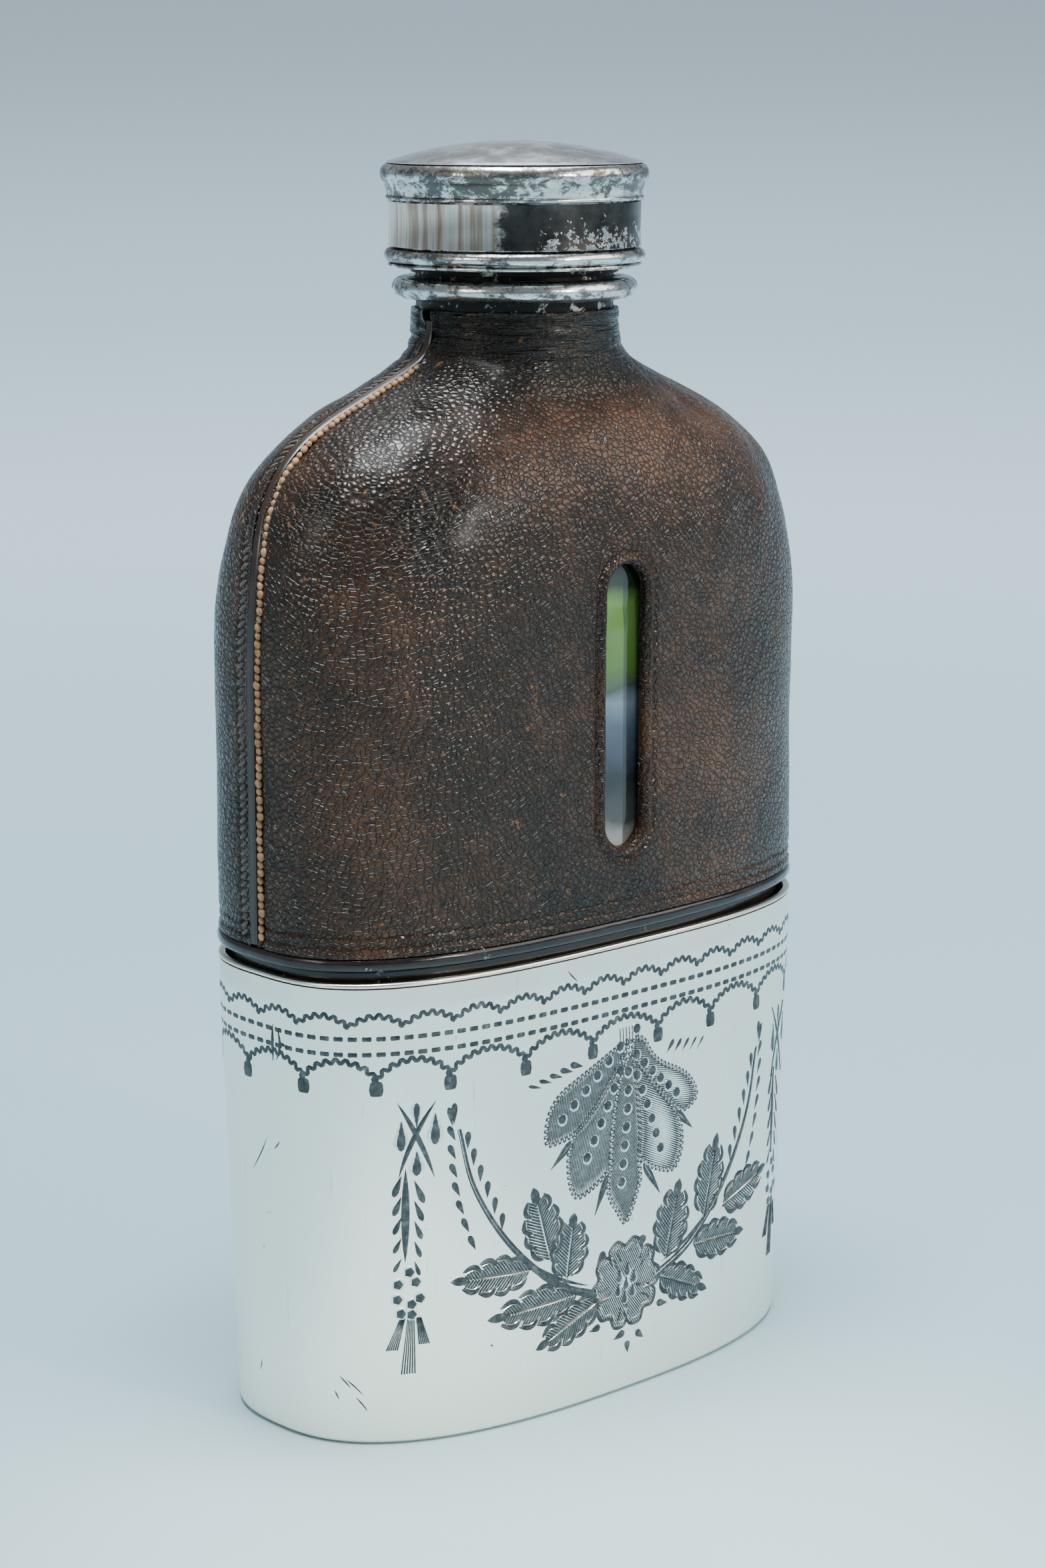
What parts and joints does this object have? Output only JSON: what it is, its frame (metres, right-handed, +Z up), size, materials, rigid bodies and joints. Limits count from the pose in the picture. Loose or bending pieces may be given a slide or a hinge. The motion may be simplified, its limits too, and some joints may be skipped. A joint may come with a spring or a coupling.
{
  "type": "hip flask",
  "caption": "Leather-covered glass hip flask with a curved oval body, sight slots front and back, a screw cap and a slide-off metal cup that the body stands in.",
  "frame": {"origin": "centre of the cup's underside, where the flask stands", "axes": "+Z up to the cap, X across the width, Y through the depth with the front face towards -Y"},
  "size_m": [0.0982, 0.048, 0.1776],
  "materials": {
    "cup_silver": "polished silver plate, engraved, lightly scratched",
    "cap_silver": "polished silver, worn, with tarnish in the hollows",
    "brown_leather": "dark brown pebbled hide, waxed, worn redder at the edges",
    "black_leather": "smooth black hide, glossy",
    "tan_thread": "waxed linen thread, orange brown",
    "clear_glass": "clear, slightly green",
    "cork": "compressed cork",
    "plaster": "matte cement"
  },
  "bodies": {
    "cup": {"cup_wall": "cup_silver", "cup_base": "cup_silver", "cup_rim_wire": "cup_silver"},
    "flask": {"glass_bottle": "clear_glass", "leather_front": "brown_leather", "leather_back": "brown_leather", "seam_welt_left": "brown_leather", "seam_welt_right": "brown_leather", "stitch_row_front_left": "tan_thread", "stitch_row_back_left": "tan_thread", "stitch_row_front_right": "tan_thread", "stitch_row_back_right": "tan_thread", "hem_binding": "black_leather", "grip_band": "black_leather", "neck_cement": "plaster", "neck_collar": "cap_silver", "neck_ring": "cap_silver"},
    "seal": {"cork_washer": "cork"},
    "cap": {"cap_pressure_plate": "cap_silver", "cap_thread_liner": "cap_silver", "cap_bead": "cap_silver", "cap_band": "cap_silver", "cap_rim_moulding": "cap_silver", "cap_dome": "cap_silver"}
  },
  "joints": [
    {"name": "flask_lift", "type": "slide", "parent": "cup", "child": "flask", "axis": [0, 0, 1], "range_m": [0, 0.08]},
    {"name": "cap_rise", "type": "slide", "parent": "flask", "child": "seal", "axis": [0, 0, 1], "range_m": [0, 0.01205]},
    {"name": "cap_turn", "type": "hinge", "parent": "seal", "child": "cap", "pos_m": [0, 0, 0.165], "axis": [0, 0, 1], "range_deg": [0, 1440]}
  ],
  "couplings": [
    {"joint": "cap_rise", "follows": "cap_turn", "m_per_rad": 0.00047746}
  ]
}
